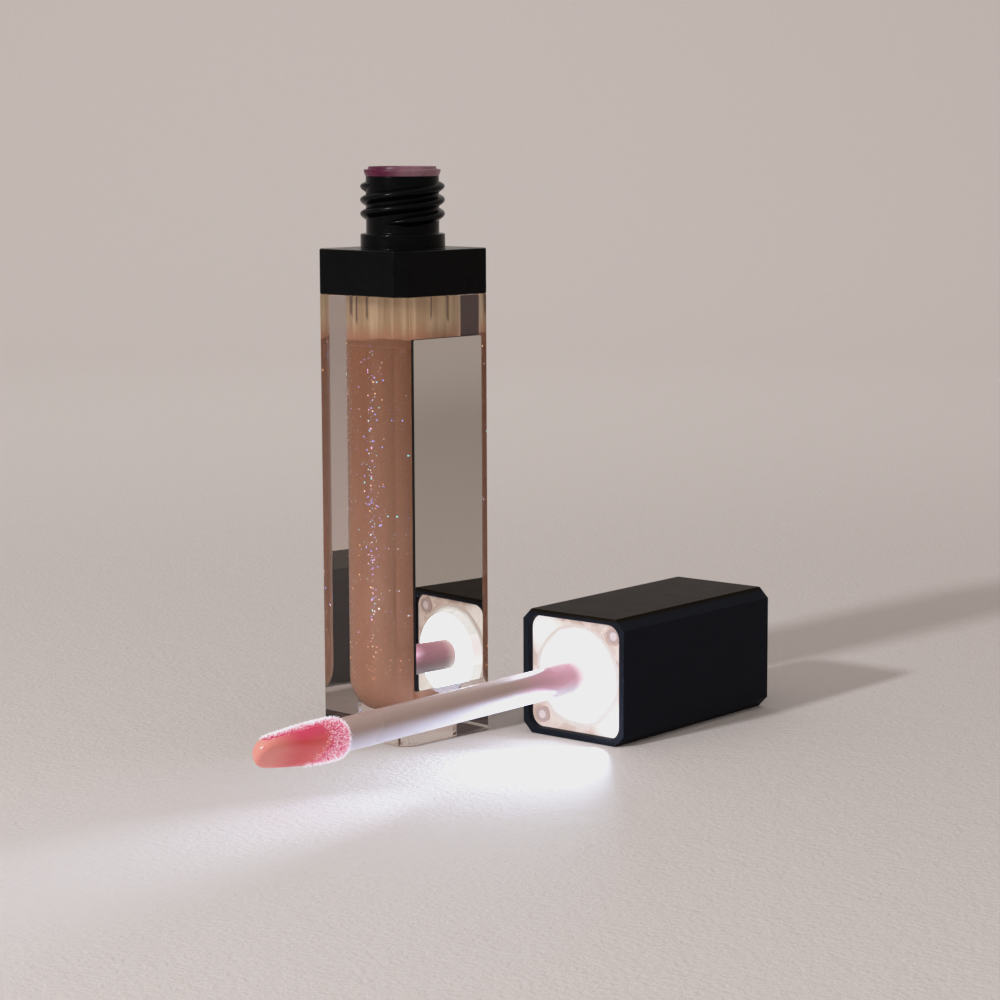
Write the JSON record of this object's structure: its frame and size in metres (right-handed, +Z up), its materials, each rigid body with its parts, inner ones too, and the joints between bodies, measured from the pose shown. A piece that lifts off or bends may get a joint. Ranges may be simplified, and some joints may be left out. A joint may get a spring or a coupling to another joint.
{
  "type": "lip gloss tube",
  "caption": "Square lip gloss tube, open: a clear thick-walled bottle with a side mirror and threaded neck, and its lighted cap lying beside it with the doe-foot wand.",
  "frame": {"origin": "centre of the bottle's flat underside, on the surface that it stands on", "axes": "+Z up along the bottle's axis; +X along the lying cap's axis, from its mouth to its closed end; -Y towards the side with the cap. The bottle is turned -4.5 degrees about Z"},
  "size_m": [0.1091, 0.046, 0.0889],
  "materials": {
    "clear_plastic": "clear, polished",
    "lip_gloss": "pearly gloss with fine glitter",
    "black_plastic": "polished black",
    "pink_plastic": "translucent magenta",
    "mirror": "mirror",
    "dark_film": "adhesive film",
    "light_guide_plastic": "clear, lit from behind",
    "white_plastic": "translucent white",
    "foam": "closed-cell foam",
    "spring_steel": "drawn wire",
    "frosted_plastic": "frosted, smeared with gloss",
    "flock": "flocked, soaked with gloss",
    "board_green": "solder mask",
    "lamp": "white light, lit",
    "dark_plastic": "moulded",
    "red_plastic": "moulded",
    "grey_plastic": "moulded",
    "contact_brass": "stamped strip",
    "cell_steel": "nickel-plated can"
  },
  "bodies": {
    "bottle": {"bottle_body": "clear_plastic", "gloss_fill": "lip_gloss", "neck_collar": "black_plastic", "wiper": "pink_plastic", "mirror_plate": "mirror", "mirror_film": "dark_film"},
    "cap": {"cap_shell": "black_plastic", "light_guide": "light_guide_plastic", "neck_socket": "white_plastic", "return_spring": "spring_steel", "rod_holder": "white_plastic", "applicator_rod": "frosted_plastic", "applicator_tip": "flock", "fixing_pins": "light_guide_plastic", "circuit_board": "board_green", "lights": "lamp", "switch_body": "dark_plastic", "battery_holder": "grey_plastic", "front_contact": "contact_brass", "rear_contact": "contact_brass", "battery_spring": "spring_steel", "cell_1": "cell_steel", "cell_2": "cell_steel", "cell_3": "cell_steel"},
    "switch_plate": {"sealing_liner": "foam", "pressure_plate": "white_plastic", "switch_button": "red_plastic"}
  },
  "joints": [
    {"name": "cap_lift", "type": "slide", "parent": "bottle", "child": "cap", "axis": [0, 0, 1], "range_m": [0, 0.12]},
    {"name": "plate_press", "type": "slide", "parent": "cap", "child": "switch_plate", "axis": [1, 0, 0], "range_m": [0, 0.0006], "stiffness_N_per_m": 500, "springref_m": -0.0006, "deforming": ["return_spring"]}
  ]
}
